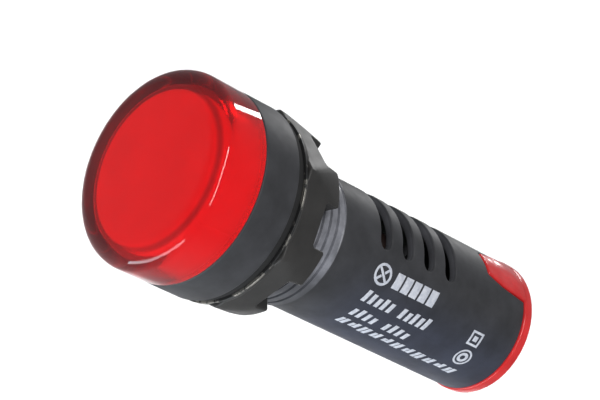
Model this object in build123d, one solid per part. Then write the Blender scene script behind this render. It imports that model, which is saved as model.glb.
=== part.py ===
from build123d import *
import math
import os

# Panel-mounted LED pilot lamp for a 22 mm hole, in millimetres.
# The lamp's axis is Y: the lens looks along -Y and the terminals are at +Y.
# The origin is the centre of the bezel's rear face, where the lamp seats on its panel.
# +Z is the side of the upper row of vents. Angles round the axis run from +Z towards +X.

# Head: bezel and lens
HEAD_R = 15.35
BEZEL_FRONT = -6.9
BEZEL_FLOOR = -2.2
BEZEL_BORE_R = 13.6
SNAP_GROOVE_R = 14.1
SNAP_GROOVE_Y = (-5.4, -4.2)
LENS_FRONT = -15.6
LENS_EDGE_R = 3.0
LENS_THICKNESS = 2.0
LENS_SPIGOT_R = 13.5
LENS_SPIGOT_END = -2.7
LENS_BORE_R = 12.85
LENS_BORE_EDGE_R = 1.7
DIFFUSER_R = 12.7
DIFFUSER_FRONT = -13.5
DIFFUSER_EDGE_R = 1.6
DIFFUSER_WALL = 1.0

# Barrel: thread, tube, vents and the notches for the cover's tabs
THREAD_R = 11.0
THREAD_ROOT_R = 10.1
THREAD_PITCH = 1.5
THREAD_END = 14.8
KEYWAY_WIDTH = 3.0
BODY_R = 10.75
BODY_END = 56.25
TUBE_BORE_R = 8.8
REAR_BORE_R = 9.25
REAR_BORE_START = 44.0
VENT_COUNT = 4
VENT_START = 23.8
VENT_PITCH = 4.9
VENT_WIDTH = 2.3
UPPER_VENT_HALF_SPAN = 6.66
LOWER_VENT_HALF_SPAN = 4.4
NOTCH_OUTLINE = [(2.35, 47.9), (3.5, 51.2), (4.3, BODY_END)]

# Panel hardware
GASKET_THICKNESS = 1.3
GASKET_R = 14.9
WASHER_THICKNESS = 0.45
WASHER_R = 15.25
NUT_FRONT = GASKET_THICKNESS + WASHER_THICKNESS
NUT_END = 9.46
NUT_SLOT_FLOOR = 6.7
NUT_SIDES = 7
NUT_FIRST_SLOT = -2.1
NUT_SLOT_WIDTH = 6.6
NUT_FLAT_R = 14.3
NUT_FRONT_R = 15.95
NUT_REAR_R = 14.3
NUT_REAR_ROUND = 0.7
NUT_FLANGE_R = 15.1
NUT_FLANGE_THICKNESS = 0.55
NUT_BORE_R = 11.12

# Boards: the round lamp board and the long driver board
LED_BOARD_R = 12.4
LED_BOARD_THICKNESS = 1.6
LED_RING_R = 7.0
LED_R = 1.5
LED_HEIGHT = 4.4
BOARD_TOP = -1.4
BOARD_THICKNESS = 1.2
BOARD_HALF_WIDTH = 8.2
BOARD_Y = (1.0, 43.0)
RAIL_INNER_X = 7.0
RAIL_HEIGHT = 1.2
PIN_X = 3.0

# Terminals
CARRIER_R = 9.15
CARRIER_END = 50.0
PLATE_THICKNESS = 1.2
PLATE_HALF_WIDTH = 3.2
PLATE_Z = (2.6, 8.0)
TAIL_X = (1.2, 3.2)
TAIL_THICKNESS = 0.6
TAIL_END = 40.6
SCREW_Z = 5.2
SCREW_R = 1.5
SCREW_TIP = 45.8
SCREW_HEAD_R = 2.75
SCREW_HEAD_HEIGHT = 2.2
CLAMP_THICKNESS = 0.8
BARRIER_THICKNESS = 1.6
BARRIER_END = 55.8

# Terminal cover
COVER_END = 58.1
COVER_R = 10.95
COVER_EDGE_R = 0.6
COVER_SPIGOT_Y = 54.4
COVER_SPIGOT_R = (8.3, 9.1)
COVER_TAB_R = (9.35, 10.9)
COVER_CLEARANCE = 0.08
DRIVER_HOLE_R = 1.9
WIRE_HOLE_R = 1.7

CLEARANCE = 0.1


def across(y):
    """The plane square to the lamp's axis at y, with its x along +Z and its y along +X."""
    return Plane(origin=(0, y, 0), x_dir=(0, 0, 1), z_dir=(0, 1, 0))


def rod(radius, y0, y1, x=0.0, z=0.0):
    """A round rod along the lamp's axis."""
    return extrude(across(y0) * Pos(z, x) * Circle(radius), y1 - y0)


def ring(outer, inner, y0, y1):
    """A round ring about the lamp's axis."""
    return rod(outer, y0, y1) - rod(inner, y0 - 1, y1 + 1)


def block(x0, x1, y0, y1, z0, z1):
    """A box given by its two corners."""
    middle = Pos((x0 + x1) / 2, (y0 + y1) / 2, (z0 + z1) / 2)
    return middle * Box(x1 - x0, y1 - y0, z1 - z0)


def turned(outline, rounds=()):
    """A solid turned about Y from (radius, y) points; rounds holds (point, radius) pairs."""
    face = make_face(Polyline([(r, y, 0) for r, y in outline], close=True))
    for point, radius in rounds:
        corner = face.vertices().sort_by_distance((point[0], point[1], 0))[0]
        face = fillet(corner, radius)
    return revolve(face, Axis.Y)


def thread_ridge():
    """The helical ridge of the barrel's thread, sunk a little into the core."""
    base_r = THREAD_ROOT_R - 0.15
    start = 0.8
    turns_length = THREAD_END - 0.6 - start
    helix = Helix(THREAD_PITCH, turns_length, base_r)
    helix = Pos(0, start, 0) * Rot(-90, 0, 0) * helix
    profile = Plane(origin=helix @ 0, x_dir=(1, 0, 0), z_dir=helix % 0)
    height = THREAD_R + 0.1 - base_r
    section = make_face(Polyline([(0, -0.72), (height, -0.5), (height, 0.5), (0, 0.72)], close=True))
    return sweep(profile * section, helix, is_frenet=True) & rod(THREAD_R, 0, THREAD_END + 2)


def vents():
    """The slots of both vent rows: long ones in the upper wall and shorter ones in the lower."""
    cutters = []
    for i in range(VENT_COUNT):
        y = VENT_START + i * VENT_PITCH
        cutters.append(extrude(Plane((0, y, 2.5)) * SlotOverall(2 * UPPER_VENT_HALF_SPAN, VENT_WIDTH), 12))
        cutters.append(extrude(Plane((0, y, -14.5)) * SlotOverall(2 * LOWER_VENT_HALF_SPAN, VENT_WIDTH), 12))
    return cutters


def notch_prism(inset, top):
    """The tapered notch in the tube's rear edge, upward when top is 1 and downward when -1."""
    right = [(x - inset, y + inset) for x, y in NOTCH_OUTLINE]
    right[-1] = (right[-1][0], BODY_END + 2)
    outline = right + [(-x, y) for x, y in reversed(right)]
    face = make_face(Polyline([(x, y, 0) for x, y in outline], close=True))
    return extrude(face, 14, dir=(0, 0, top))


def make_housing():
    outline = [
        (TUBE_BORE_R, BEZEL_FLOOR), (BEZEL_BORE_R, BEZEL_FLOOR), (BEZEL_BORE_R, BEZEL_FRONT),
        (HEAD_R, BEZEL_FRONT), (HEAD_R, 0), (THREAD_ROOT_R, 0), (THREAD_ROOT_R, THREAD_END),
        (BODY_R, THREAD_END + 0.6), (BODY_R, BODY_END), (REAR_BORE_R, BODY_END),
        (REAR_BORE_R, REAR_BORE_START), (TUBE_BORE_R, REAR_BORE_START),
    ]
    rounds = [((HEAD_R, BEZEL_FRONT), 0.3), ((HEAD_R, 0), 0.5), ((BODY_R, BODY_END), 0.25)]
    housing = turned(outline, rounds)
    housing -= ring(SNAP_GROOVE_R, BEZEL_BORE_R - 1, *SNAP_GROOVE_Y)
    keyway = block(-KEYWAY_WIDTH / 2, KEYWAY_WIDTH / 2, -1, THREAD_END + 2, -THREAD_R - 1, -THREAD_ROOT_R)
    ridge = thread_ridge() - keyway
    housing += ridge
    housing -= vents()
    bore = rod(TUBE_BORE_R + 0.2, 2, REAR_BORE_START - 2)
    for side in (-1, 1):
        x0, x1 = sorted((side * RAIL_INNER_X, side * 9.5))
        for z0 in (BOARD_TOP + 0.05, BOARD_TOP - BOARD_THICKNESS - 0.05 - RAIL_HEIGHT):
            housing += block(x0, x1, 2, REAR_BORE_START - 2, z0, z0 + RAIL_HEIGHT) & bore
        housing -= notch_prism(0, side)
    return housing


def make_lens_cap():
    inner = LENS_FRONT + LENS_THICKNESS
    outline = [
        (0, LENS_FRONT), (HEAD_R, LENS_FRONT), (HEAD_R, BEZEL_FRONT), (LENS_SPIGOT_R, BEZEL_FRONT),
        (LENS_SPIGOT_R, LENS_SPIGOT_END), (LENS_BORE_R, LENS_SPIGOT_END), (LENS_BORE_R, inner), (0, inner),
    ]
    rounds = [((HEAD_R, LENS_FRONT), LENS_EDGE_R), ((LENS_BORE_R, inner), LENS_BORE_EDGE_R)]
    lens = turned(outline, rounds)
    bead_r = SNAP_GROOVE_R - 0.15
    middle = sum(SNAP_GROOVE_Y) / 2
    root_r = LENS_SPIGOT_R - 0.3
    bead = turned([(root_r, middle - 0.4), (bead_r, middle), (root_r, middle + 0.4)])
    return lens + bead


def make_diffuser():
    inner_r = DIFFUSER_R - DIFFUSER_WALL
    rear = BEZEL_FLOOR - LED_BOARD_THICKNESS
    outline = [
        (0, DIFFUSER_FRONT), (DIFFUSER_R, DIFFUSER_FRONT), (DIFFUSER_R, rear), (inner_r, rear),
        (inner_r, DIFFUSER_FRONT + DIFFUSER_WALL), (0, DIFFUSER_FRONT + DIFFUSER_WALL),
    ]
    return turned(outline, [((DIFFUSER_R, DIFFUSER_FRONT), DIFFUSER_EDGE_R)])


def led_places():
    """The lamps' (x, z) places: one in the middle and six round it."""
    ring_of_six = [math.radians(60 * i) for i in range(6)]
    return [(0.0, 0.0)] + [(LED_RING_R * math.sin(a), LED_RING_R * math.cos(a)) for a in ring_of_six]


def make_led_board():
    board = rod(LED_BOARD_R, BEZEL_FLOOR - LED_BOARD_THICKNESS, BEZEL_FLOOR)
    for side in (-1, 1):
        board -= rod(0.5, BEZEL_FLOOR - 3, BEZEL_FLOOR + 1, side * PIN_X, BOARD_TOP + 0.5)
    return board


def make_leds():
    face = BEZEL_FLOOR - LED_BOARD_THICKNESS
    outline = [(0, face - LED_HEIGHT), (LED_R, face - LED_HEIGHT), (LED_R, face - 1), (1.75, face - 1),
               (1.75, face), (0, face)]
    led = turned(outline, [((LED_R, face - LED_HEIGHT), LED_R - 0.1)])
    return [Pos(x, 0, z) * led for x, z in led_places()]


def make_link_pins():
    z = BOARD_TOP + 0.5
    return [rod(0.42, BEZEL_FLOOR - LED_BOARD_THICKNESS - 0.6, 5.5, side * PIN_X, z) for side in (-1, 1)]


def make_main_board():
    return block(-BOARD_HALF_WIDTH, BOARD_HALF_WIDTH, *BOARD_Y, BOARD_TOP - BOARD_THICKNESS, BOARD_TOP)


def axial_part(x, y, radius, length, lead_span):
    """A small component lying across the board with its two leads bent down to it."""
    height = radius + 0.25
    centre = Location((x, y, BOARD_TOP + height), (0, 90, 0))
    body = centre * Cylinder(radius, length)
    body = chamfer(body.edges(), radius * 0.2)
    wire = centre * Cylinder(0.3, lead_span)
    for side in (-1, 1):
        foot = Location((x + side * (lead_span / 2 - 0.3), y, BOARD_TOP + (height + 0.3) / 2))
        wire += foot * Cylinder(0.3, height + 0.3)
    return body + wire


def make_film_capacitor():
    body = block(-5.5, 5.5, 23, 36, BOARD_TOP, BOARD_TOP + 6)
    return fillet(body.edges(), 0.6)


def make_electrolytic_capacitor():
    can = rod(3.15, 8, 19, -2.6, BOARD_TOP + 3.2)
    can = fillet(can.edges(), 0.4)
    waist = ring(4, 2.95, 9.2, 9.9)
    return can - Pos(-2.6, 0, BOARD_TOP + 3.2) * waist


def make_terminal_carrier():
    carrier = rod(CARRIER_R, REAR_BORE_START, CARRIER_END)
    half = BARRIER_THICKNESS / 2
    barrier = block(-9, 9, CARRIER_END, BARRIER_END, -half, half) & rod(COVER_SPIGOT_R[0] - 0.2, 49, 57)
    carrier += barrier
    carrier -= block(-TAIL_X[1] - CLEARANCE, -TAIL_X[0] + CLEARANCE, CARRIER_END - 0.01,
                     CARRIER_END + PLATE_THICKNESS + CLEARANCE, -half - 1, half + 1)
    for side in (-1, 1):
        carrier -= rod(SCREW_R + 0.3, SCREW_TIP - 1, CARRIER_END + 1, 0, side * SCREW_Z)
    for x0, x1, z0, z1 in tail_boxes():
        carrier -= block(x0 - CLEARANCE, x1 + CLEARANCE, 40, CARRIER_END + 0.5,
                         z0 - CLEARANCE, z1 + CLEARANCE)
    return carrier


def tail_boxes():
    """The two solder tails' (x0, x1, z0, z1): one on the board's top and one under it."""
    under = BOARD_TOP - BOARD_THICKNESS
    return [(-TAIL_X[1], -TAIL_X[0], BOARD_TOP, BOARD_TOP + TAIL_THICKNESS),
            (TAIL_X[0], TAIL_X[1], under - TAIL_THICKNESS, under)]


def make_terminal_plate(upper):
    y0, y1 = CARRIER_END, CARRIER_END + PLATE_THICKNESS
    x0, x1, z0, z1 = tail_boxes()[0 if upper else 1]
    side = 1 if upper else -1
    low, high = sorted((side * PLATE_Z[0], side * PLATE_Z[1]))
    plate = block(-PLATE_HALF_WIDTH, PLATE_HALF_WIDTH, y0, y1, low, high)
    if upper:
        plate += block(x0, x1, y0, y1, z0, low)
    plate += block(x0, x1, TAIL_END, y1, z0, z1)
    return plate - rod(SCREW_R + 0.05, y0 - 1, y1 + 1, 0, side * SCREW_Z)


def make_clamp_washer(side):
    y0 = CARRIER_END + PLATE_THICKNESS
    z = side * SCREW_Z
    plate = block(-3.0, 3.0, y0, y0 + CLAMP_THICKNESS, z - 2.4, z + 2.4)
    plate = chamfer(plate.edges().filter_by(Axis.Y), 0.6)
    return plate - rod(SCREW_R + 0.1, y0 - 1, y0 + 3, 0, z)


def make_terminal_screw(side):
    z = side * SCREW_Z
    head_y = CARRIER_END + PLATE_THICKNESS + CLAMP_THICKNESS
    top = head_y + SCREW_HEAD_HEIGHT
    outline = [(0, SCREW_TIP), (SCREW_R - 0.4, SCREW_TIP), (SCREW_R, SCREW_TIP + 0.4), (SCREW_R, head_y),
               (SCREW_HEAD_R, head_y), (SCREW_HEAD_R, top), (0, top)]
    screw = turned(outline, [((SCREW_HEAD_R, top), 0.7)])
    for width, length in ((0.7, 4.4), (4.4, 0.7)):
        screw -= block(-width / 2, width / 2, top - 1.2, top + 1, -length / 2, length / 2)
    return Pos(0, 0, z) * screw


def make_terminal_cover():
    disc = turned([(0, BODY_END), (COVER_R, BODY_END), (COVER_R, COVER_END), (0, COVER_END)],
                  [((COVER_R, COVER_END), COVER_EDGE_R)])
    outer, inner = COVER_SPIGOT_R[1], COVER_SPIGOT_R[0]
    cover = disc + ring(outer, inner, COVER_SPIGOT_Y, BODY_END + 0.2)
    wall = ring(COVER_TAB_R[1], COVER_TAB_R[0], NOTCH_OUTLINE[0][1], BODY_END + 0.3)
    for side in (-1, 1):
        cover += notch_prism(COVER_CLEARANCE, side) & wall
        cover -= rod(DRIVER_HOLE_R, BODY_END - 1, COVER_END + 1, 0, side * SCREW_Z)
        cover -= rod(WIRE_HOLE_R, BODY_END - 1, COVER_END + 1, side * 5.4, side * 3.6)
    return cover


def make_panel_gasket():
    outline = [(THREAD_R + 0.15, 0), (GASKET_R, 0), (GASKET_R, GASKET_THICKNESS),
               (THREAD_R + 0.15, GASKET_THICKNESS)]
    return turned(outline, [((GASKET_R, 0), 0.3), ((GASKET_R, GASKET_THICKNESS), 0.3)])


def make_lock_washer():
    washer = ring(WASHER_R, THREAD_R + 0.15, GASKET_THICKNESS, NUT_FRONT)
    half = KEYWAY_WIDTH / 2 - 0.2
    return washer + block(-half, half, GASKET_THICKNESS, NUT_FRONT, -THREAD_R - 1, -THREAD_ROOT_R - 0.2)


def make_lock_nut():
    cone = turned([(0, NUT_FRONT), (NUT_FRONT_R, NUT_FRONT), (NUT_REAR_R, NUT_END), (0, NUT_END)],
                  [((NUT_REAR_R, NUT_END), NUT_REAR_ROUND)])
    turn = NUT_FIRST_SLOT
    sides = across(NUT_FRONT) * Rot(0, 0, turn) * RegularPolygon(NUT_FLAT_R, NUT_SIDES, major_radius=False,
                                                               rotation=180 / NUT_SIDES)
    nut = cone & extrude(sides, NUT_END - NUT_FRONT)
    nut += rod(NUT_FLANGE_R, NUT_FRONT, NUT_FRONT + NUT_FLANGE_THICKNESS)
    nut -= rod(NUT_BORE_R, NUT_FRONT - 1, NUT_END + 1)
    half = NUT_SLOT_WIDTH / 2
    for i in range(NUT_SIDES):
        angle = turn + i * 360 / NUT_SIDES
        slot = block(-half, half, NUT_SLOT_FLOOR, NUT_END + 1, 5, 20)
        nut -= Rot(0, angle, 0) * slot
    return nut


def save(name, shape):
    """Write one node's solids to its STEP file."""
    if isinstance(shape, list):
        solids = [solid for piece in shape for solid in piece.solids()]
        shape = Compound(children=solids)
    export_step(shape, f"parts/{name}.step")


def main():
    os.makedirs("parts", exist_ok=True)
    save("housing", make_housing())
    save("lens_cap", make_lens_cap())
    save("diffuser", make_diffuser())
    save("led_board", make_led_board())
    save("leds", make_leds())
    save("link_pins", make_link_pins())
    save("main_board", make_main_board())
    save("film_capacitor", make_film_capacitor())
    save("electrolytic_capacitor", make_electrolytic_capacitor())
    save("rectifier_diodes", [axial_part(3.9, y, 1.25, 3.8, 5.6) for y in (8.2, 11.5, 14.8, 18.1)])
    save("zener_diode", axial_part(0.0, 21.2, 0.95, 3.6, 8.0))
    save("series_resistor", axial_part(0.0, 38.0, 1.1, 6.2, 11.0))
    save("terminal_carrier", make_terminal_carrier())
    save("terminal_plate_a", make_terminal_plate(True))
    save("terminal_plate_b", make_terminal_plate(False))
    for letter, side in (("a", 1), ("b", -1)):
        save(f"clamp_washer_{letter}", make_clamp_washer(side))
        save(f"terminal_screw_{letter}", make_terminal_screw(side))
    save("terminal_cover", make_terminal_cover())
    save("panel_gasket", make_panel_gasket())
    save("lock_washer", make_lock_washer())
    save("lock_nut", make_lock_nut())


main()
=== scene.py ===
import math
import bmesh
import bpy
from mathutils import Matrix, Vector


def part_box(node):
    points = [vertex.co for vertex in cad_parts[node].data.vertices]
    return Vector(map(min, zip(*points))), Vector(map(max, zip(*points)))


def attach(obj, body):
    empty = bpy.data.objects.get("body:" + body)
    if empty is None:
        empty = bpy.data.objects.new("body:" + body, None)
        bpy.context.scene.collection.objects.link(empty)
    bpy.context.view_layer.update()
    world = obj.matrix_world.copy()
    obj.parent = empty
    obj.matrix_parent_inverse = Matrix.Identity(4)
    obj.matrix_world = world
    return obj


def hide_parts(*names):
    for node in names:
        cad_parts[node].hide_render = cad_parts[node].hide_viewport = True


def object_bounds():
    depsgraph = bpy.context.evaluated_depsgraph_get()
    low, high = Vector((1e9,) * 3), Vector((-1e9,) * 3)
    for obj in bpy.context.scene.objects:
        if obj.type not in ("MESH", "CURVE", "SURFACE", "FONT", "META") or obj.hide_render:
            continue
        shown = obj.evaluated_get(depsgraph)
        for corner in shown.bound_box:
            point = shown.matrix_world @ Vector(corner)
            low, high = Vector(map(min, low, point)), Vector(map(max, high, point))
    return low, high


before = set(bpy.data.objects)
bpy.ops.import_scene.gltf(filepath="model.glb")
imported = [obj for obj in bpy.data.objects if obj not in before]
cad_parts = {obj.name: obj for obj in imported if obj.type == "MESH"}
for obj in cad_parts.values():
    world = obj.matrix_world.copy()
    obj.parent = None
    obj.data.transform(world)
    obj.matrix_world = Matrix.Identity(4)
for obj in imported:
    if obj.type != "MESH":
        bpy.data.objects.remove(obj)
cad_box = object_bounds()

MM = 0.001

# Camera: the direction it stands in, its distance and its roll
CAMERA_AZIMUTH = 46.64
CAMERA_ELEVATION = 20.25
CAMERA_ROLL = 45.0
CAMERA_DISTANCE = 405 * MM
CAMERA_AIM = Vector((-5.09, 15.38, 3.27)) * MM
FOCAL_LENGTH_MM = 162.0
SENSOR_MM = 36.0

# The floor, in metres: how far it lies under the object, and half its side
FLOOR_DROP = 285 * MM
FLOOR_HALF_SIDE = 8.0


# ---------------------------------------------------------------- sizes read from the frame, in mm

def reach(node):
    """The (radius, first y, last y) of a node that is round about the axis, in mm."""
    low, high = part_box(node)
    return max(high.x, -low.x, high.z, -low.z) / MM, low.y / MM, high.y / MM


HEAD_R, BEZEL_FRONT, BODY_END = reach("housing")
_, LENS_FRONT, LENS_END = reach("lens_cap")
DIFFUSER_R, DIFFUSER_FRONT, DIFFUSER_END = reach("diffuser")
GASKET_R, GASKET_START, GASKET_END = reach("panel_gasket")
WASHER_R, _, WASHER_END = reach("lock_washer")
_, NUT_START, NUT_END = reach("lock_nut")
COVER_R, TAB_START, COVER_END = reach("terminal_cover")

# ---------------------------------------------------------------- sizes that aren't in the frame, in mm

# Housing: bezel, thread and tube; CORE_R is the bore inside the thread
BEZEL_BORE_R = 13.6
BEZEL_FLOOR = -2.2
THREAD_R = 11.0
THREAD_ROOT_R = 10.1
THREAD_PITCH = 1.5
THREAD_END = 14.8
# The thread's groove, in shares of the pitch: half its width at the crest, and the width of each wall
GROOVE_HALF_WIDTH = 0.17
GROOVE_WALL_WIDTH = 0.13
CORE_R = 8.8
BODY_R = 10.75
TUBE_INNER_R = 9.25
TUBE_EDGE = 0.35

# The notches in the tube's rear edge, as (half width, y), and the vents
NOTCH = [(2.35, 47.9), (3.5, 51.2), (4.3, BODY_END)]
VENT_COUNT = 4
VENT_START = 23.8
VENT_PITCH = 4.9
VENT_WIDTH = 2.3
UPPER_VENT_HALF_SPAN = 6.66
LOWER_VENT_HALF_SPAN = 4.4

# Lens and diffuser
LENS_THICKNESS = 2.0
LENS_BORE_R = 12.85
LENS_SPIGOT_R = 13.5
LENS_EDGE_R = 3.0
DIFFUSER_BORE_R = 11.7
DIFFUSER_THICKNESS = 1.0
DIFFUSER_EDGE_R = 1.4

# Gasket and washer, which share one bore; the washer has a tab into the thread's keyway
RING_BORE_R = 11.15
WASHER_THICKNESS = 0.35
WASHER_TAB_HALF_WIDTH = 1.3
WASHER_TAB_TIP = 10.3

# Nut: its angles are in degrees, and its flats lie NUT_FLAT_R from the axis
NUT_SIDES = 7
NUT_FIRST_SLOT = -2.1
NUT_SLOT_FLOOR = 6.7
NUT_SLOT_HALF_ANGLE = 13.6
NUT_FRONT_R = 15.95
NUT_REAR_R = 14.3
NUT_FLAT_R = 14.3
NUT_BORE_R = 11.12
NUT_CORNER_SHARPNESS = 90
NUT_FLANGE_R = 15.1
NUT_FLANGE_BORE_R = 11.3
NUT_FLANGE_THICKNESS = 0.55

# Terminal cover: each half has a screwdriver hole and a wire hole
DRIVER_HOLE_R = 1.9
DRIVER_HOLE_Z = 5.2
WIRE_HOLE_R = 1.7
WIRE_HOLE_X = 5.4
WIRE_HOLE_Z = 3.6
COVER_SPIGOT_R = (8.3, 9.1)
COVER_SPIGOT_START = 54.4
COVER_TAB_R = (9.35, 10.9)
COVER_TAB_CLEARANCE = 0.08

# Printed marks: their height over the tube, their thickness, and the stroke of the line signs
INK_LIFT = 0.012
INK_THICKNESS = 0.03
INK_STROKE = 0.42

# Edges that meet at a sharper angle than this, in degrees, aren't shaded smooth
SHARP_ANGLE = 40.0


# ---------------------------------------------------------------- mesh helpers (all in mm)

def rounded(points, radii, steps=5):
    """A closed outline with its corners rounded; radii has one radius for each corner."""
    out = []
    count = len(points)
    for i, (point, radius) in enumerate(zip(points, radii)):
        p = Vector(point)
        a = (Vector(points[i - 1]) - p).normalized()
        b = (Vector(points[(i + 1) % count]) - p).normalized()
        if radius <= 0:
            out.append(tuple(p))
            continue
        half = a.angle(b) / 2
        centre = p + (a + b).normalized() * (radius / math.sin(half))
        start = p + a * (radius / math.tan(half)) - centre
        end = p + b * (radius / math.tan(half)) - centre
        sweep = start.angle_signed(end)
        for k in range(steps + 1):
            turn = Matrix.Rotation(-sweep * k / steps, 2)
            out.append(tuple(centre + turn @ start))
    return out


def circle(radius, x=0.0, z=0.0, count=96):
    """A round loop about (x, z)."""
    turns = [2 * math.pi * i / count for i in range(count)]
    return [(x + radius * math.sin(a), z + radius * math.cos(a)) for a in turns]


def lathe(profile, segments=180):
    """A bmesh turned about Y from a closed profile of (radius, y) points."""
    bm = bmesh.new()
    rings = []
    for r, y in profile:
        if r < 1e-6:
            rings.append([bm.verts.new((0, y, 0))])
            continue
        turns = [2 * math.pi * i / segments for i in range(segments)]
        rings.append([bm.verts.new((r * math.sin(a), y, r * math.cos(a))) for a in turns])
    for lower, upper in zip(rings, rings[1:] + rings[:1]):
        for i in range(segments):
            j = (i + 1) % segments
            corners = [lower[i % len(lower)], lower[j % len(lower)],
                       upper[j % len(upper)], upper[i % len(upper)]]
            unique = list(dict.fromkeys(corners))
            if len(unique) > 2:
                bm.faces.new(unique)
    return bm


def sheet(loops, thickness, bevel, steps):
    """A flat bmesh cut to the loops, with every edge rounded; z runs through the thickness."""
    curve = bpy.data.curves.new("outline", "CURVE")
    curve.dimensions = "2D"
    curve.fill_mode = "BOTH"
    curve.extrude = thickness / 2 - bevel
    curve.bevel_depth = bevel
    curve.bevel_resolution = steps
    curve.offset = -bevel
    for loop in loops:
        spline = curve.splines.new("POLY")
        spline.points.add(len(loop) - 1)
        for point, (x, y) in zip(spline.points, loop):
            point.co = (x, y, 0, 1)
        spline.use_cyclic_u = True
    holder = bpy.data.objects.new("outline", curve)
    mesh = bpy.data.meshes.new_from_object(holder)
    bm = bmesh.new()
    bm.from_mesh(mesh)
    bpy.data.objects.remove(holder)
    bpy.data.curves.remove(curve)
    bpy.data.meshes.remove(mesh)
    return bm


def slice_up(bm, axis, positions, clear_low=False, clear_high=False):
    """Cuts a bmesh by planes square to an axis, so that it can be bent there.

    clear_low and clear_high drop what lies on that side of the plane.
    """
    normal = Vector((0, 0, 0))
    normal[axis] = 1
    for p in positions:
        point = normal * p
        geometry = bm.verts[:] + bm.edges[:] + bm.faces[:]
        bmesh.ops.bisect_plane(bm, geom=geometry, dist=1e-5, plane_co=point, plane_no=normal,
                               clear_inner=clear_low, clear_outer=clear_high)


def plate(loops, y0, y1, bevel, steps):
    """A plate square to the axis from y0 to y1; its loops are in (x, z)."""
    bm = sheet(loops, y1 - y0, bevel, steps)
    for v in bm.verts:
        a, b, w = v.co
        v.co = (a, (y0 + y1) / 2 + w, b)
    return bm


def rolled(loops, nominal_r, inner_r, outer, bevel, step=3.0, levels=(), seam=None, steps=3):
    """A sheet rolled round the axis, from loops in (angle in degrees, y).

    Its outside has the radius outer(angle, y), and lengths round it are right at nominal_r. It is cut every
    step degrees and at the levels in y, so that it can bend. With a seam it goes all the way round, from that
    angle.
    """
    per_degree = nominal_r * math.pi / 180
    thickness = outer(0, 0) - inner_r
    flat = [[(a * per_degree, y) for a, y in loop] for loop in loops]
    bm = sheet(flat, thickness, bevel, steps)
    angles = [a for loop in loops for a, _ in loop]
    low, high = min(angles), max(angles)
    if seam is not None:
        slice_up(bm, 0, [seam * per_degree], clear_low=True)
        slice_up(bm, 0, [(seam + 360) * per_degree], clear_high=True)
        low, high = seam, seam + 360
    cuts = int((high - low) / step)
    slice_up(bm, 0, [(low + (high - low) * i / cuts) * per_degree for i in range(1, cuts)])
    slice_up(bm, 1, levels)
    for v in bm.verts:
        angle = v.co.x / per_degree
        share = v.co.z / thickness + 0.5
        r = inner_r + share * (outer(angle, v.co.y) - inner_r)
        a = math.radians(angle)
        v.co = (r * math.sin(a), v.co.y, r * math.cos(a))
    return bm


def joined(*parts):
    """Several bmeshes as one."""
    bm = bmesh.new()
    for part in parts:
        mesh = bpy.data.meshes.new("part")
        part.to_mesh(mesh)
        part.free()
        bm.from_mesh(mesh)
        bpy.data.meshes.remove(mesh)
    return bm


def piece(name, bm, material, body, replaces=()):
    """A finished object from a bmesh in mm, riding on its body."""
    bmesh.ops.remove_doubles(bm, verts=bm.verts, dist=2e-4)
    bmesh.ops.dissolve_degenerate(bm, edges=bm.edges, dist=2e-4)
    bmesh.ops.recalc_face_normals(bm, faces=bm.faces)
    limit = math.radians(SHARP_ANGLE)
    for face in bm.faces:
        face.smooth = True
    for edge in bm.edges:
        edge.smooth = len(edge.link_faces) != 2 or edge.calc_face_angle(0) < limit
    bmesh.ops.scale(bm, vec=(MM, MM, MM), verts=bm.verts)
    mesh = bpy.data.meshes.new(name)
    bm.to_mesh(mesh)
    bm.free()
    mesh.materials.append(material)
    obj = bpy.data.objects.new(name, mesh)
    bpy.context.scene.collection.objects.link(obj)
    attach(obj, body)
    if replaces:
        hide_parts(*replaces)


# ---------------------------------------------------------------- materials

def new_material(name):
    """A node material: itself, its tree, its shader and its object coordinates."""
    material = bpy.data.materials.new(name)
    material.use_nodes = True
    tree = material.node_tree
    shader = tree.nodes["Principled BSDF"]
    coords = tree.nodes.new("ShaderNodeTexCoord")
    return material, tree, shader, coords.outputs["Object"]


def contents(material):
    """The tree, shader and object coordinates of a material made by new_material."""
    tree = material.node_tree
    return tree, tree.nodes["Principled BSDF"], tree.nodes["Texture Coordinate"].outputs["Object"]


def noise(tree, vector, scale, detail=4.0, roughness=0.55):
    """A noise texture's factor; scale is in waves for each metre."""
    node = tree.nodes.new("ShaderNodeTexNoise")
    node.inputs["Scale"].default_value = scale
    node.inputs["Detail"].default_value = detail
    node.inputs["Roughness"].default_value = roughness
    tree.links.new(vector, node.inputs["Vector"])
    return node.outputs["Fac"]


def ramp(tree, value, stops):
    """A colour ramp over a value; stops are (position, colour) pairs."""
    node = tree.nodes.new("ShaderNodeValToRGB")
    elements = node.color_ramp.elements
    while len(elements) < len(stops):
        elements.new(0.5)
    for element, (position, colour) in zip(elements, stops):
        element.position = position
        element.color = (*colour, 1)
    tree.links.new(value, node.inputs["Fac"])
    return node.outputs["Color"]


def spread(tree, value, low, high):
    """A value in 0..1 spread over low..high."""
    node = tree.nodes.new("ShaderNodeMapRange")
    node.inputs["To Min"].default_value = low
    node.inputs["To Max"].default_value = high
    tree.links.new(value, node.inputs["Value"])
    return node.outputs["Result"]


def bump(tree, shader, height, strength, distance):
    """Raises the surface by a height; distance is in metres."""
    node = tree.nodes.new("ShaderNodeBump")
    node.inputs["Strength"].default_value = strength
    node.inputs["Distance"].default_value = distance
    tree.links.new(height, node.inputs["Height"])
    tree.links.new(node.outputs["Normal"], shader.inputs["Normal"])


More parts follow.
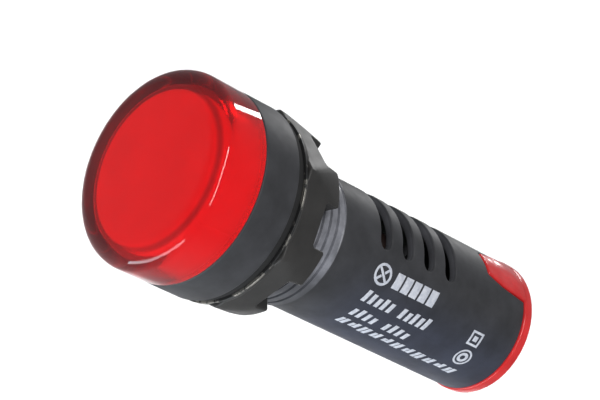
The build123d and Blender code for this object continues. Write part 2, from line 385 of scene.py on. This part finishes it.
def axis_distance(tree, vector):
    """The distance from the lamp's axis, and the place along it, in metres."""
    apart = tree.nodes.new("ShaderNodeSeparateXYZ")
    tree.links.new(vector, apart.inputs["Vector"])
    flat = tree.nodes.new("ShaderNodeCombineXYZ")
    tree.links.new(apart.outputs["X"], flat.inputs["X"])
    tree.links.new(apart.outputs["Z"], flat.inputs["Z"])
    length = tree.nodes.new("ShaderNodeVectorMath")
    length.operation = "LENGTH"
    tree.links.new(flat.outputs["Vector"], length.inputs[0])
    return length.outputs["Value"], apart.outputs["Y"]


def between(tree, value, start, end, low, high):
    """low where the value is under start, high where it is over end, and a smooth slope between."""
    node = tree.nodes.new("ShaderNodeMapRange")
    node.interpolation_type = "SMOOTHSTEP"
    node.inputs["From Min"].default_value = start
    node.inputs["From Max"].default_value = end
    node.inputs["To Min"].default_value = low
    node.inputs["To Max"].default_value = high
    tree.links.new(value, node.inputs["Value"])
    return node.outputs["Result"]


def arithmetic(tree, operation, *values):
    """A maths node over sockets and plain numbers."""
    node = tree.nodes.new("ShaderNodeMath")
    node.operation = operation
    for value, socket in zip(values, node.inputs):
        if isinstance(value, (int, float)):
            socket.default_value = value
        else:
            tree.links.new(value, socket)
    return node.outputs["Value"]


def colour_mix(tree, shader, blend, share, first, second):
    """Sets the base colour to a mix of two colours, each a socket or plain numbers."""
    mix = tree.nodes.new("ShaderNodeMix")
    mix.data_type = "RGBA"
    mix.blend_type = blend
    tree.links.new(share, mix.inputs["Factor"])
    for colour, socket in ((first, mix.inputs["A"]), (second, mix.inputs["B"])):
        if isinstance(colour, tuple):
            socket.default_value = (*colour, 1)
        else:
            tree.links.new(colour, socket)
    tree.links.new(mix.outputs["Result"], shader.inputs["Base Color"])


def scale_colour(tree, shader, factor):
    """Multiplies the base colour by a factor."""
    scaled = tree.nodes.new("ShaderNodeVectorMath")
    scaled.operation = "SCALE"
    tree.links.new(shader.inputs["Base Color"].links[0].from_socket, scaled.inputs[0])
    tree.links.new(factor, scaled.inputs["Scale"])
    tree.links.new(scaled.outputs["Vector"], shader.inputs["Base Color"])


def moulded(name, dark, light, rough, grain=9000, grain_depth=0.01, cloud=220):
    """Moulded plastic: a clouded colour, a fine spark-eroded grain and uneven gloss."""
    material, tree, shader, vector = new_material(name)
    tree.links.new(ramp(tree, noise(tree, vector, cloud, 5), [(0.3, dark), (0.7, light)]),
                   shader.inputs["Base Color"])
    tree.links.new(spread(tree, noise(tree, vector, cloud * 2.3, 3), rough - 0.06, rough + 0.08),
                   shader.inputs["Roughness"])
    bump(tree, shader, noise(tree, vector, grain, 3), 0.35, grain_depth * MM)
    return material


def sideways(tree, coords, angle):
    """How far a point lies from the axis towards the side at that angle, in metres."""
    dot = tree.nodes.new("ShaderNodeVectorMath")
    dot.operation = "DOT_PRODUCT"
    tree.links.new(coords, dot.inputs[0])
    dot.inputs[1].default_value = (math.sin(math.radians(angle)), 0, math.cos(math.radians(angle)))
    return dot.outputs["Value"]


def burnished_painted_highlight(material, start, end, rough, lighten, painted_shade_angle):
    """Makes a moulded material glossier and lighter from start to end along the axis, as on a worn thread.

    The lightening is partly wear and partly a painted highlight; the side at the given angle gets less of it,
    as painted shade.
    """
    tree, shader, coords = contents(material)
    _, y = axis_distance(tree, coords)
    inside = arithmetic(tree, "MULTIPLY", between(tree, y, start * MM, (start + 0.2) * MM, 0, 1),
                        between(tree, y, (end - 0.2) * MM, end * MM, 1, 0))
    aside = sideways(tree, coords, painted_shade_angle)
    # Painted shade: less lightening towards the side at the given angle, which is lit less
    painted_shade_share = between(tree, aside, 0.15 * THREAD_R * MM, 0.7 * THREAD_R * MM, 1, 0.2)
    inside = arithmetic(tree, "MULTIPLY", inside, painted_shade_share)
    old = shader.inputs["Roughness"].links[0].from_socket
    drop = arithmetic(tree, "MULTIPLY", inside, arithmetic(tree, "SUBTRACT", old, rough))
    tree.links.new(arithmetic(tree, "SUBTRACT", old, drop), shader.inputs["Roughness"])
    # The lightening is partly wear and partly a painted highlight
    wear_and_highlight = arithmetic(tree, "MULTIPLY", inside, spread(tree, noise(tree, coords, 700, 5), 0.3, 1.7))
    scale_colour(tree, shader, arithmetic(tree, "MULTIPLY_ADD", wear_and_highlight, lighten - 1, 1.0))


def painted_vent_light(material, radius, start, lighten):
    """Makes a material paler under that radius and past start, as painted light: the vents' walls and the
    tube's inside.
    """
    tree, shader, coords = contents(material)
    r, y = axis_distance(tree, coords)
    inside = arithmetic(tree, "MULTIPLY", between(tree, y, start * MM, (start + 0.5) * MM, 0, 1),
                        between(tree, r, (radius - 0.3) * MM, radius * MM, 1, 0))
    scale_colour(tree, shader, arithmetic(tree, "MULTIPLY_ADD", inside, lighten - 1, 1.0))


def painted_light_cast(material, angle, start, tint):
    """Paints a faint cast of coloured light on the side at that angle, past start along the axis."""
    tree, shader, coords = contents(material)
    _, y = axis_distance(tree, coords)
    share = arithmetic(tree, "MULTIPLY", between(tree, y, start * MM, (start + 14) * MM, 0, 1),
                       between(tree, sideways(tree, coords, angle), 0, 1.1 * BODY_R * MM, 0, 1))
    colour_mix(tree, shader, "MULTIPLY", share, shader.inputs["Base Color"].links[0].from_socket, tint)


def metal(name, dark, light, rough):
    """Plated or bare metal with a fine uneven polish."""
    scratch = 4000
    material, tree, shader, vector = new_material(name)
    shader.inputs["Metallic"].default_value = 1.0
    tree.links.new(ramp(tree, noise(tree, vector, 900, 4), [(0.3, dark), (0.7, light)]),
                   shader.inputs["Base Color"])
    tree.links.new(spread(tree, noise(tree, vector, scratch, 2), rough - 0.08, rough + 0.12),
                   shader.inputs["Roughness"])
    bump(tree, shader, noise(tree, vector, scratch, 2), 0.2, 0.01 * MM)
    return material


def worn_washer(name):
    """Blackened spring steel whose coat is worn through in specks, most of all at its rim."""
    material, tree, shader, vector = new_material(name)
    radius, _ = axis_distance(tree, vector)
    specks = ramp(tree, noise(tree, vector, 420, 4, 0.6), [(0.5, (0, 0, 0)), (0.58, (1, 1, 1))])
    rim = between(tree, radius, (WASHER_R - 0.6) * MM, (WASHER_R - 0.3) * MM, 0.12, 1)
    worn = arithmetic(tree, "MULTIPLY", specks, rim)
    tree.links.new(worn, shader.inputs["Metallic"])
    colour_mix(tree, shader, "MIX", worn, (0.02, 0.02, 0.02), (0.42, 0.4, 0.36))
    tree.links.new(spread(tree, noise(tree, vector, 3000, 2), 0.35, 0.55), shader.inputs["Roughness"])
    return material


def clear_plastic(name, tint, cloudy, absorb, density, inside_r):
    """Tinted clear plastic for the lens, which darkens with the light's path and is a little cloudy.

    It is frosted within inside_r, slightly less so at its front face, and glossy further out.
    """
    material, tree, shader, vector = new_material(name)
    shader.inputs["IOR"].default_value = 1.36
    tree.links.new(ramp(tree, noise(tree, vector, 160, 2), [(0.35, tint), (0.65, [0.95 * c for c in tint])]),
                   shader.inputs["Base Color"])
    tree.links.new(spread(tree, noise(tree, vector, 300, 4), 1 - cloudy * 1.2, 1 - cloudy * 0.8),
                   shader.inputs["Transmission Weight"])
    radius, y = axis_distance(tree, vector)
    frosted = between(tree, radius, inside_r * MM, (inside_r + 0.3) * MM, 0.17, 0.02)
    front_share = between(tree, y, (LENS_FRONT + 0.3) * MM, (LENS_FRONT + 0.9) * MM, 0.8, 1)
    tree.links.new(arithmetic(tree, "MULTIPLY", frosted, front_share), shader.inputs["Roughness"])
    bump(tree, shader, noise(tree, vector, 120, 1), 0.12, 0.03 * MM)
    volume = tree.nodes.new("ShaderNodeVolumeAbsorption")
    volume.inputs["Color"].default_value = (*absorb, 1)
    volume.inputs["Density"].default_value = density
    tree.links.new(volume.outputs["Volume"], tree.nodes["Material Output"].inputs["Volume"])
    return material


def waxy_red(name, dark, light, rough, painted_glow, waves=900, depth=0.01, strength=0.15):
    """Dense red plastic that light soaks into, with an uneven surface and a faint emission that is painted
    light.
    """
    material, tree, shader, vector = new_material(name)
    shader.inputs["Subsurface Weight"].default_value = 0.25
    shader.inputs["Subsurface Radius"].default_value = (1.5 * MM, 0.2 * MM, 0.2 * MM)
    shader.inputs["Subsurface Scale"].default_value = 1.0
    shader.inputs["Emission Color"].default_value = (1.0, 0.018, 0.032, 1)
    shader.inputs["Emission Strength"].default_value = painted_glow
    tree.links.new(ramp(tree, noise(tree, vector, 300, 6), [(0.3, dark), (0.7, light)]),
                   shader.inputs["Base Color"])
    tree.links.new(spread(tree, noise(tree, vector, 450, 3), rough - 0.06, rough + 0.06),
                   shader.inputs["Roughness"])
    bump(tree, shader, noise(tree, vector, waves, 1), strength, depth * MM)
    return material


def painted_dark_rim(material, radius, front, painted_glow):
    """Dims a glowing material close to its front corner, at that radius and y: a dark line of painted shade.
    """
    tree, shader, coords = contents(material)
    r, y = axis_distance(tree, coords)
    out = arithmetic(tree, "SUBTRACT", r, radius * MM)
    along = arithmetic(tree, "SUBTRACT", y, front * MM)
    apart = arithmetic(tree, "SQRT", arithmetic(tree, "ADD", arithmetic(tree, "MULTIPLY", out, out),
                                                arithmetic(tree, "MULTIPLY", along, along)))
    share = between(tree, apart, 0.2 * MM, 0.75 * MM, 0.25, 1.0)
    tree.links.new(arithmetic(tree, "MULTIPLY", share, painted_glow), shader.inputs["Emission Strength"])
    scale_colour(tree, shader, share)


BLACK = moulded("black_nylon", (0.026, 0.0265, 0.0295), (0.049, 0.0495, 0.055), 0.55)
# The thread's lightening is partly wear and partly a painted highlight, with painted shade on its lower side
burnished_painted_highlight(BLACK, start=0.5, end=14.6, rough=0.32, lighten=5.6, painted_shade_angle=150)
# Painted light on the vents' walls and the tube's inside
painted_vent_light(BLACK, radius=BODY_R - 0.15, start=21.0, lighten=2.6)
# Painted light: a bluish cast on the tube's lower side, as from light below
painted_light_cast(BLACK, angle=130, start=14.0, tint=(0.85, 1.0, 1.5))
NUT_BLACK = moulded("nut_nylon", (0.022, 0.0208, 0.0195), (0.036, 0.0338, 0.032), 0.5)
CARRIER = moulded("carrier_plastic", (0.02, 0.02, 0.022), (0.03, 0.03, 0.032), 0.45)
RUBBER = moulded("gasket_rubber", (0.006, 0.006, 0.006), (0.012, 0.012, 0.012), 0.75, grain=5000,
                 grain_depth=0.02)
RED_LENS = clear_plastic("red_lens", (0.98, 0.06, 0.08), cloudy=0.12, absorb=(0.87, 0.05, 0.1), density=900,
                         inside_r=13.0)
# The cover's faint emission is painted light
RED_COVER = waxy_red("red_cover", (0.6, 0.02, 0.02), (0.78, 0.034, 0.034), 0.17, painted_glow=0.05,
                     waves=340, depth=0.22, strength=1)
# The diffuser's emission is painted light, which brightens its red
DIFFUSER_PAINTED_GLOW = 0.79
DIFFUSER = waxy_red("red_diffuser", (0.85, 0.03, 0.045), (0.95, 0.045, 0.06), 0.5, DIFFUSER_PAINTED_GLOW)
# Painted shade: a dark line along the diffuser's front corner
painted_dark_rim(DIFFUSER, radius=DIFFUSER_R - 0.1, front=DIFFUSER_FRONT + 0.15, painted_glow=DIFFUSER_PAINTED_GLOW)
WASHER = worn_washer("washer_steel")
ZINC = metal("zinc_steel", (0.6, 0.6, 0.58), (0.75, 0.74, 0.7), 0.3)
BRASS = metal("terminal_brass", (0.6, 0.43, 0.18), (0.75, 0.56, 0.26), 0.3)
TIN = metal("tinned_pin", (0.6, 0.6, 0.6), (0.75, 0.75, 0.74), 0.3)
LAMINATE = moulded("board_laminate", (0.02, 0.12, 0.045), (0.03, 0.17, 0.065), 0.35, grain=2500, cloud=400)
LAMP_BOARD = moulded("lamp_board", (0.62, 0.62, 0.6), (0.72, 0.72, 0.7), 0.35, grain=2500)
FILM = moulded("capacitor_case", (0.018, 0.009, 0.007), (0.03, 0.013, 0.01), 0.4)
SLEEVE = moulded("capacitor_sleeve", (0.012, 0.014, 0.03), (0.02, 0.024, 0.05), 0.25)
DIODE = moulded("diode_body", (0.012, 0.012, 0.013), (0.022, 0.022, 0.023), 0.4)
GLASS_DIODE = moulded("diode_glass", (0.5, 0.12, 0.03), (0.65, 0.2, 0.05), 0.1)
RESISTOR = moulded("resistor_lacquer", (0.42, 0.3, 0.17), (0.52, 0.39, 0.24), 0.35)
EPOXY = moulded("led_epoxy", (0.55, 0.02, 0.02), (0.7, 0.04, 0.04), 0.12)
INK = moulded("print_ink", (0.55, 0.58, 0.66), (0.8, 0.82, 0.88), 0.55, cloud=1500)


# ---------------------------------------------------------------- the housing

def thread_surface():
    """The barrel's outside: broad helical crests with narrow grooves, from the bezel to the tube."""
    rows_per_turn, segments = 12, 144
    bm = bmesh.new()
    depths = []
    for k in range(rows_per_turn):
        phase = abs(k / rows_per_turn - 0.5)
        share = min(max((GROOVE_HALF_WIDTH - phase) / GROOVE_WALL_WIDTH, 0), 1)
        depths.append((THREAD_R - THREAD_ROOT_R) * share)
    turns = int(THREAD_END / THREAD_PITCH) + 2
    grid = []
    for j in range(turns * rows_per_turn + 1):
        row = []
        for i in range(segments + 1):
            y = THREAD_PITCH * (j / rows_per_turn - 1 + i / segments)
            # The groove runs out over 0.6 mm, and is gone 0.3 mm before the thread's end
            fade = min(max((THREAD_END - 0.3 - y) / 0.6, 0), 1)
            r = THREAD_R - depths[j % rows_per_turn] * fade
            a = 2 * math.pi * i / segments
            row.append(bm.verts.new((r * math.sin(a), min(max(y, 0), THREAD_END), r * math.cos(a))))
        grid.append(row)
    for lower, upper in zip(grid, grid[1:]):
        for i in range(segments):
            bm.faces.new((lower[i], lower[i + 1], upper[i + 1], upper[i]))
    return bm


def on_tube(x):
    """The angle at which a point x to the side lies on the tube."""
    return math.degrees(math.asin(x / BODY_R))


def rounded_on_tube(loop, radii):
    """A loop in (angle, y) on the tube, with its corners rounded by radii in mm."""
    per_degree = BODY_R * math.pi / 180
    return [(u / per_degree, y) for u, y in rounded([(a * per_degree, y) for a, y in loop], radii)]


def tube_loops():
    """The tube's outline with its two rear notches, and its eight vents, in (angle, y)."""
    front = THREAD_END - 0.1
    side = [(on_tube(x), y) for x, y in NOTCH]
    # The outline laps a full turn by 5 degrees at each end, and the seam's cuts take that off
    outline = [(85, front), (455, front), (455, BODY_END)]
    radii = [0, 0, 0]
    for centre in (360, 180):
        outline += [(centre + a, y) for a, y in reversed(side)] + [(centre - a, y) for a, y in side]
        radii += [0.25, 1.2, 0.5, 0.5, 1.2, 0.25]
    outline.append((85, BODY_END))
    radii.append(0)
    loops = [rounded_on_tube(outline, radii)]
    r = VENT_WIDTH / 2
    turns = [math.pi * k / 12 for k in range(13)]
    for centre, half in ((180, LOWER_VENT_HALF_SPAN), (360, UPPER_VENT_HALF_SPAN)):
        for i in range(VENT_COUNT):
            y = VENT_START + VENT_PITCH * i
            right = [(half - r + r * math.sin(t), y - r * math.cos(t)) for t in turns]
            left = [(-x, 2 * y - v) for x, v in right]
            loops.append([(centre + on_tube(x), v) for x, v in right + left])
    return loops


def make_housing():
    """The black moulding, with the bore's wall behind the thread."""
    bezel = lathe(rounded(
        [(CORE_R, BEZEL_FLOOR), (BEZEL_BORE_R, BEZEL_FLOOR), (BEZEL_BORE_R, BEZEL_FRONT),
         (HEAD_R, BEZEL_FRONT), (HEAD_R, 0), (CORE_R, 0)], [0, 0.3, 0.15, 0.3, 0.45, 0]), 240)
    barrel = thread_surface()
    core = lathe([(CORE_R, 0), (THREAD_ROOT_R - 0.2, 0), (THREAD_ROOT_R - 0.2, THREAD_END + 1.5),
                  (CORE_R, THREAD_END + 1.5)], 128)
    tube = rolled(tube_loops(), BODY_R, TUBE_INNER_R, lambda a, y: BODY_R, TUBE_EDGE, seam=90)
    piece("housing_shell", joined(bezel, barrel, core, tube), BLACK, "housing", ["housing"])


# ---------------------------------------------------------------- head

def make_lens():
    inner = LENS_FRONT + LENS_THICKNESS
    profile = rounded(
        [(LENS_BORE_R, LENS_END), (LENS_BORE_R, inner), (0, inner), (0, LENS_FRONT), (HEAD_R, LENS_FRONT),
         (HEAD_R, BEZEL_FRONT), (LENS_SPIGOT_R, BEZEL_FRONT), (LENS_SPIGOT_R, LENS_END)],
        [0.15, 1.7, 0, 0, LENS_EDGE_R, 0.28, 0.1, 0.15], 12)
    piece("lens_shell", lathe(profile, 240), RED_LENS, "housing", ["lens_cap"])


def make_diffuser():
    inner = DIFFUSER_FRONT + DIFFUSER_THICKNESS
    profile = rounded(
        [(DIFFUSER_BORE_R, DIFFUSER_END), (DIFFUSER_BORE_R, inner), (0, inner), (0, DIFFUSER_FRONT),
         (DIFFUSER_R, DIFFUSER_FRONT), (DIFFUSER_R, DIFFUSER_END)], [0.1, 0.6, 0, 0, DIFFUSER_EDGE_R, 0.1], 8)
    piece("diffuser_cup", lathe(profile, 200), DIFFUSER, "housing", ["diffuser"])


# ---------------------------------------------------------------- panel hardware

def make_gasket():
    profile = rounded([(RING_BORE_R, GASKET_START), (GASKET_R, GASKET_START), (GASKET_R, GASKET_END),
                       (RING_BORE_R, GASKET_END)], [0.15, 0.4, 0.4, 0.15])
    piece("gasket_ring", lathe(profile), RUBBER, "housing", ["panel_gasket"])


def make_washer():
    """A thin ring with its tab let into the inner loop."""
    tab = WASHER_TAB_HALF_WIDTH
    inner = circle(RING_BORE_R, count=120)
    inner = [(x, z) for x, z in inner if not (z < 0 and abs(x) < tab + 0.2)]
    split = next(i for i, (x, z) in enumerate(inner) if z < 0 and x < 0)
    drop = -math.sqrt(RING_BORE_R ** 2 - tab ** 2)
    inner[split:split] = [(tab, drop), (tab, -WASHER_TAB_TIP), (-tab, -WASHER_TAB_TIP), (-tab, drop)]
    outer = circle(WASHER_R - 0.1, count=180)
    bm = plate([outer, inner], WASHER_END - WASHER_THICKNESS, WASHER_END, 0.08, 2)
    piece("washer_ring", bm, WASHER, "washer", ["lock_washer"])


def nut_radius(angle, y):
    """The nut's outside: a cone cut by seven flats, with the corners between them eased."""
    share = (y - NUT_START) / (NUT_END - NUT_START)
    cone = NUT_FRONT_R + (NUT_REAR_R - NUT_FRONT_R) * min(max(share, 0), 1)
    pitch = 360 / NUT_SIDES
    offset = (angle - NUT_FIRST_SLOT + pitch / 2) % pitch - pitch / 2
    flat = NUT_FLAT_R / math.cos(math.radians(offset))
    power = NUT_CORNER_SHARPNESS
    return (cone ** -power + flat ** -power) ** (-1 / power)


def make_nut():
    """The crown, rolled from one sheet with its slots cut in, and the thin flange at its front."""
    pitch = 360 / NUT_SIDES
    seam = NUT_FIRST_SLOT + pitch / 2
    per_degree = NUT_FLAT_R * math.pi / 180
    # The outline laps a full turn by 4 degrees at each end, and the seam's cuts take that off
    outline = [((seam - 4) * per_degree, NUT_START), ((seam + 364) * per_degree, NUT_START),
               ((seam + 364) * per_degree, NUT_END)]
    radii = [0, 0, 0]
    for i in reversed(range(NUT_SIDES)):
        centre = seam + pitch / 2 + i * pitch
        right, left = (centre + NUT_SLOT_HALF_ANGLE) * per_degree, (centre - NUT_SLOT_HALF_ANGLE) * per_degree
        outline += [(right, NUT_END), (right, NUT_SLOT_FLOOR), (left, NUT_SLOT_FLOOR), (left, NUT_END)]
        radii += [0.45, 0.5, 0.5, 0.45]
    outline.append(((seam - 4) * per_degree, NUT_END))
    radii.append(0)
    loop = [(u / per_degree, y) for u, y in rounded(outline, radii, 4)]
    # Cuts across the axis, so that the cone's corners with the flats can curve
    levels = [NUT_START + 0.45 + 0.7 * i for i in range(10)]
    crown = rolled([loop], NUT_FLAT_R, NUT_BORE_R, nut_radius, 0.3, step=2.0, levels=levels, seam=seam)
    flange_end = NUT_START + NUT_FLANGE_THICKNESS
    flange = lathe(rounded(
        [(NUT_FLANGE_BORE_R, NUT_START), (NUT_FLANGE_R, NUT_START), (NUT_FLANGE_R, flange_end),
         (NUT_FLANGE_BORE_R, flange_end)], [0, 0.15, 0.2, 0]), 200)
    piece("nut_crown", joined(crown, flange), NUT_BLACK, "nut", ["lock_nut"])


# ---------------------------------------------------------------- terminal cover

def make_cover():
    """The red disc with its four holes, the spigot in the tube, and the two tabs that fill the notches."""
    holes = []
    for side in (1, -1):
        holes.append(circle(DRIVER_HOLE_R, 0, side * DRIVER_HOLE_Z, 40))
        holes.append(circle(WIRE_HOLE_R, side * WIRE_HOLE_X, side * WIRE_HOLE_Z, 40))
    disc = plate([circle(COVER_R, count=200)] + holes, BODY_END, COVER_END, 0.4, 4)
    inner_r, outer_r = COVER_SPIGOT_R
    spigot = lathe(rounded(
        [(inner_r, COVER_SPIGOT_START), (outer_r, COVER_SPIGOT_START), (outer_r, BODY_END + 0.5),
         (inner_r, BODY_END + 0.5)], [0.15, 0.15, 0, 0]), 120)
    tabs = []
    side = [(on_tube(x - COVER_TAB_CLEARANCE), y) for x, y in NOTCH[:2]]
    side.append((on_tube(NOTCH[2][0] - COVER_TAB_CLEARANCE), BODY_END + 0.9))
    for centre in (0, 180):
        outline = [(centre + a, max(y, TAB_START)) for a, y in side]
        outline += [(centre - a, max(y, TAB_START)) for a, y in reversed(side)]
        loop = rounded_on_tube(outline, [0.5, 1.2, 0, 0, 1.2, 0.5])
        tabs.append(rolled([loop], BODY_R, COVER_TAB_R[0], lambda a, y: COVER_TAB_R[1], 0.3, step=2.5))
    piece("cover_cap", joined(disc, spigot, *tabs), RED_COVER, "cover", ["terminal_cover"])


# ---------------------------------------------------------------- printed marks

def on_surface(u, v, centre):
    """Turns a mark's (u, v) in mm, u along the tube and v round it, into (angle, y)."""
    angle, y = centre
    return angle + math.degrees(v / BODY_R), y + u


def bar(u0, u1, v0, v1, slant):
    """A four-cornered stroke; slant leans it along u."""
    return [(u0, v0), (u1, v0), (u1 + slant * (v1 - v0), v1), (u0 + slant * (v1 - v0), v1)]


def stroke(first, last):
    """A straight stroke between two points."""
    (u0, v0), (u1, v1) = first, last
    length = math.hypot(u1 - u0, v1 - v0)
    nu, nv = (v0 - v1) / length * INK_STROKE / 2, (u1 - u0) / length * INK_STROKE / 2
    return [(u0 + nu, v0 + nv), (u1 + nu, v1 + nv), (u1 - nu, v1 - nv), (u0 - nu, v0 - nv)]


def ring_loops(radius, width):
    """The two edges of a printed ring."""
    return [circle(r, count=40) for r in (radius, radius - width)]


def decal(loops, centre):
    """One printed patch on the tube, from loops in (u, v)."""
    placed = [[on_surface(u, v, centre) for u, v in loop] for loop in loops]
    inner = BODY_R + INK_LIFT
    return rolled(placed, BODY_R, inner, lambda a, y: inner + INK_THICKNESS, 0.006, step=3.0, steps=1)


def lamp_symbol(centre, radius):
    """A ring crossed by two strokes, the drawing sign for a lamp."""
    tip, gap = (radius - 0.3) * math.sqrt(0.5), 0.25
    return [decal(ring_loops(radius, INK_STROKE), centre),
            decal([stroke((-tip, -tip), (tip, tip))], centre),
            decal([stroke((-tip, tip), (-gap, gap))], centre),
            decal([stroke((gap, -gap), (tip, -tip))], centre)]


# The thick bar in the top row, cut into pieces by slanted gaps
BAR_ANGLE = 58.0
BAR_START = 27.6
BAR_PITCH = 1.95
BAR_LENGTH = 1.55
BAR_HALF_HEIGHT = 1.3

# Rows of plain strokes as (angle, first y, last y, pitch, width, height); the last row's strokes are in pairs
TEXT_ROWS = (
    (79.0, 23.9, 40.0, 1.35, 0.8, 2.1),
    (96.0, 24.2, 37.4, 1.45, 0.8, 1.8),
    (110.0, 24.0, 51.4, 2.45, 1.7, 1.6),
)


def make_marks():
    """Generic print on one side of the tube, with no lettering: signs, bars and rows of strokes."""
    # Top row: a lamp sign and the thick bar
    parts = lamp_symbol((BAR_ANGLE, 24.7), 1.75)
    for i in range(5):
        y = BAR_START + BAR_PITCH * i
        shape = bar(y, y + BAR_LENGTH, -BAR_HALF_HEIGHT, BAR_HALF_HEIGHT, -0.15)
        parts.append(decal([shape], (BAR_ANGLE, 0.0)))
    for row, (angle, first, last, pitch, width, height) in enumerate(TEXT_ROWS):
        for i in range(int((last - first) / pitch)):
            short = (i * 7 + row * 3) % 5
            if row < 2 and (i + row) % 6 == 5:
                continue
            half = height / 2 * (1 - 0.12 * short)
            y = first + pitch * i
            if row == 2:
                parts.append(decal([bar(y, y + width * 0.42, -half, half, -0.3)], (angle, 0.0)))
                parts.append(decal([bar(y + width * 0.56, y + width, -height / 2, half, -0.3)], (angle, 0.0)))
            else:
                parts.append(decal([bar(y, y + width, -half, height / 2, -0.2)], (angle, 0.0)))
    # Rear marks: a square in a square, and a ring round a dot
    square = [(-1.25, -1.25), (1.25, -1.25), (1.25, 1.25), (-1.25, 1.25)]
    square_place, ring_place = (72.0, 48.0), (91.3, 48.4)
    parts.append(decal([square, [(u * 0.7, v * 0.7) for u, v in square]], square_place))
    parts.append(decal([[(u * 0.36, v * 0.36) for u, v in square]], square_place))
    parts.append(decal(ring_loops(1.6, 0.32), ring_place))
    parts.append(decal(ring_loops(0.95, 0.5), ring_place))
    piece("printed_marks", joined(*parts), INK, "housing")


make_marks()
make_housing()
make_lens()
make_diffuser()
make_gasket()
make_washer()
make_nut()
make_cover()

# The nodes inside the lamp keep their CAD shapes and get these materials
CAD_LOOKS = {
    "led_board": LAMP_BOARD, "leds": EPOXY, "link_pins": TIN, "main_board": LAMINATE,
    "film_capacitor": FILM, "electrolytic_capacitor": SLEEVE, "rectifier_diodes": DIODE,
    "zener_diode": GLASS_DIODE, "series_resistor": RESISTOR, "terminal_carrier": CARRIER,
    "terminal_plate_a": BRASS, "terminal_plate_b": BRASS, "clamp_washer_a": ZINC, "clamp_washer_b": ZINC,
    "terminal_screw_a": ZINC, "terminal_screw_b": ZINC,
}
for node, material in CAD_LOOKS.items():
    for material_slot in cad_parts[node].material_slots:
        material_slot.material = material


# ---------------------------------------------------------------- studio

def away(azimuth, elevation):
    """The unit vector towards a viewer at that azimuth and elevation, in degrees."""
    a, e = math.radians(azimuth), math.radians(elevation)
    return Vector((math.sin(a) * math.cos(e), -math.cos(a) * math.cos(e), math.sin(e)))


def add_camera():
    data = bpy.data.cameras.new("camera")
    data.lens = FOCAL_LENGTH_MM
    data.sensor_width = SENSOR_MM
    data.clip_end = 20
    camera = bpy.data.objects.new("camera", data)
    bpy.context.scene.collection.objects.link(camera)
    back = away(CAMERA_AZIMUTH, CAMERA_ELEVATION)
    level = Vector((0, 0, 1)).cross(back).normalized()
    right = Matrix.Rotation(math.radians(CAMERA_ROLL), 3, back) @ level
    up = back.cross(right)
    place = Matrix((right, up, back)).transposed().to_4x4()
    place.translation = CAMERA_AIM + back * CAMERA_DISTANCE
    camera.matrix_world = place
    bpy.context.scene.camera = camera


def add_floor():
    material, tree, shader, vector = new_material("floor")
    pale, paler = (0.93, 0.93, 0.93), (0.96, 0.96, 0.96)
    tree.links.new(ramp(tree, noise(tree, vector, 3, 2), [(0.0, pale), (1.0, paler)]),
                   shader.inputs["Base Color"])
    shader.inputs["Roughness"].default_value = 0.9
    shader.inputs["Specular IOR Level"].default_value = 0.0
    mesh = bpy.data.meshes.new("floor")
    s, z = FLOOR_HALF_SIDE, cad_box[0][2] - FLOOR_DROP
    mesh.from_pydata([(-s, -s, z), (s, -s, z), (s, s, z), (-s, s, z)], [], [(0, 1, 2, 3)])
    mesh.materials.append(material)
    floor = bpy.data.objects.new("floor", mesh)
    bpy.context.scene.collection.objects.link(floor)


# The point that the strip lamps are aimed at, in metres
STRIP_AIM = Vector((0, 0.01, 0))


def add_strip(name, start, end, distance, width, brightness, colour=(1, 1, 1)):
    """A long soft lamp aimed at the object, from one (azimuth, elevation) to another.

    Its distance and width are in metres, and its brightness is for each square metre.
    """
    first, last = away(*start) * distance, away(*end) * distance
    length = (last - first).length
    data = bpy.data.lights.new(name, "AREA")
    data.shape = "RECTANGLE"
    data.size = length
    data.size_y = width
    data.energy = brightness * math.pi * length * width
    data.color = colour
    light = bpy.data.objects.new(name, data)
    bpy.context.scene.collection.objects.link(light)
    along = (last - first).normalized()
    middle = (first + last) / 2
    back = (middle - along * middle.dot(along)).normalized()
    place = Matrix((along, back.cross(along), back)).transposed().to_4x4()
    place.translation = STRIP_AIM + middle
    light.matrix_world = place


def add_floor_wash(power, place, sides, heading, beam):
    """A lamp over the floor behind the object, which whitens it.

    Its place and sides are in metres; its heading about the upright and the width of its beam are in degrees.
    """
    data = bpy.data.lights.new("floor_wash", "AREA")
    data.shape = "RECTANGLE"
    data.size, data.size_y = sides
    data.spread = math.radians(beam)
    data.energy = power
    light = bpy.data.objects.new("floor_wash", data)
    bpy.context.scene.collection.objects.link(light)
    light.matrix_world = Matrix.Translation(place) @ Matrix.Rotation(math.radians(heading), 4, "Z")


def add_world():
    world = bpy.data.worlds.new("studio")
    bpy.context.scene.world = world
    world.use_nodes = True
    background = world.node_tree.nodes["Background"]
    background.inputs["Color"].default_value = (0.95, 0.97, 1.0, 1)
    background.inputs["Strength"].default_value = 0.35


add_camera()
add_floor()
add_world()
add_floor_wash(2.7, place=(-0.72, 0.7, 0.6), sides=(1.4, 0.75), heading=132.7, beam=12)
add_strip("rear_strip", (-134.5, 8), (-132, 36), 0.8, 0.045, 16)
add_strip("high_strip", (36, 72), (53, 48), 0.8, 0.05, 26)
add_strip("side_strip", (53, 48), (75, 18), 0.8, 0.045, 22)
add_strip("crescent_strip", (0, -74), (80, -22), 0.29, 0.05, 9, colour=(0.85, 0.93, 1.0))
bpy.context.scene.view_settings.view_transform = "Standard"
